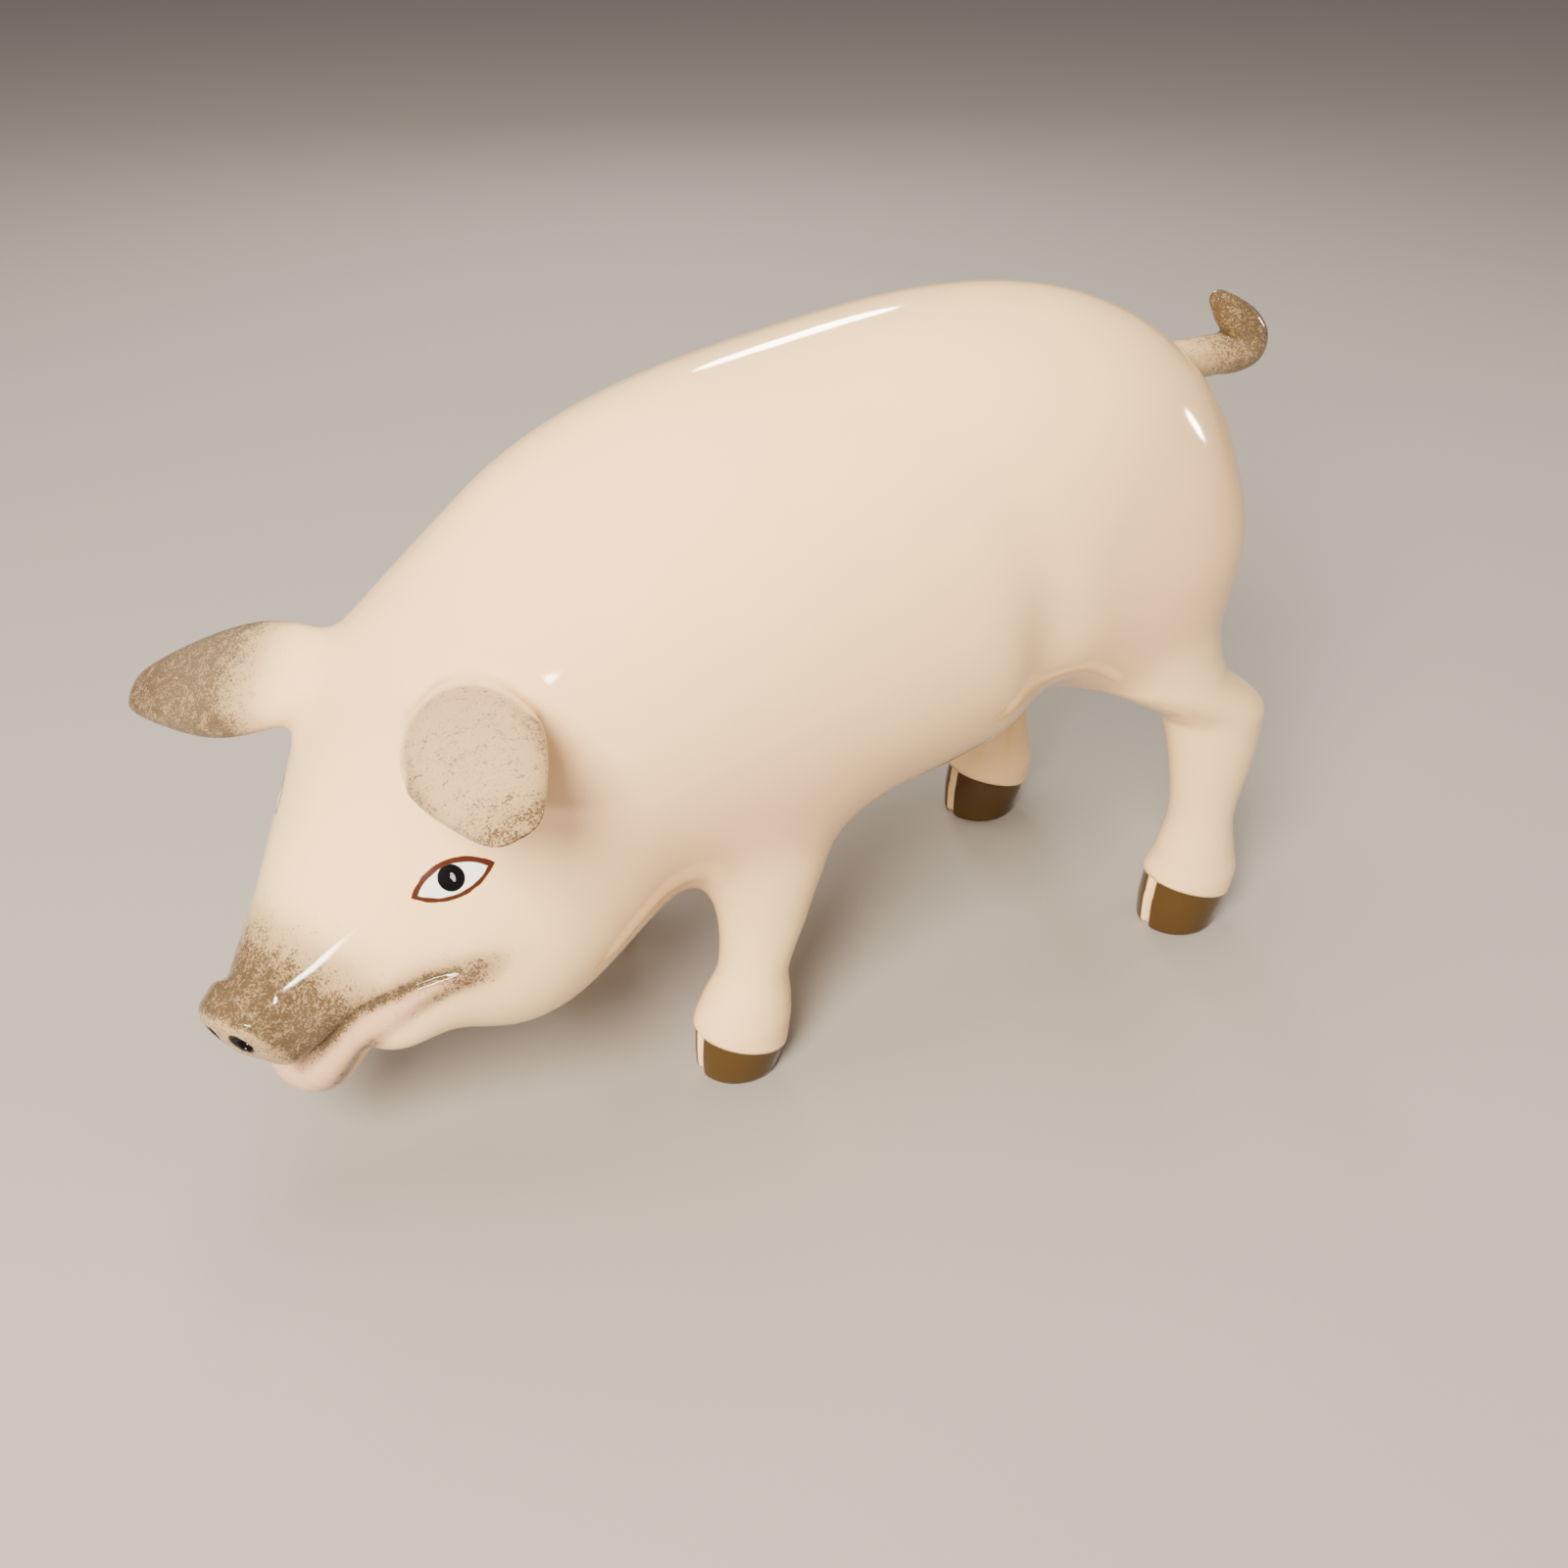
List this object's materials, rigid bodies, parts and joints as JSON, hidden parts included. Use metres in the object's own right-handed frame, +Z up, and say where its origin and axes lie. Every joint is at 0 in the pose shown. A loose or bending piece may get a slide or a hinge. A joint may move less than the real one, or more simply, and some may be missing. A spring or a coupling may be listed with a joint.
{
  "type": "pig figurine",
  "caption": "Glazed china pig standing with its head lowered and turned aside, ears spread and tail curled, as an ornament for a shelf or table.",
  "frame": {"origin": "on the surface that the hooves stand on, under the middle of the overall box", "axes": "+Z up, -X towards the snout, -Y towards the pig's left side"},
  "size_m": [0.1678, 0.0776, 0.1011],
  "materials": {
    "ivory_glaze": "ivory china under a clear gloss glaze",
    "speckled_glaze": "airbrushed grey-brown speckle under a clear gloss glaze",
    "hoof_glaze": "ivory china with brown painted hooves under a clear gloss glaze"
  },
  "bodies": {
    "root": {"torso": "ivory_glaze", "head": "ivory_glaze", "left_ear": "speckled_glaze", "right_ear": "speckled_glaze", "front_left_leg": "hoof_glaze", "front_right_leg": "hoof_glaze", "rear_left_leg": "hoof_glaze", "rear_right_leg": "hoof_glaze", "tail": "speckled_glaze"}
  },
  "joints": []
}
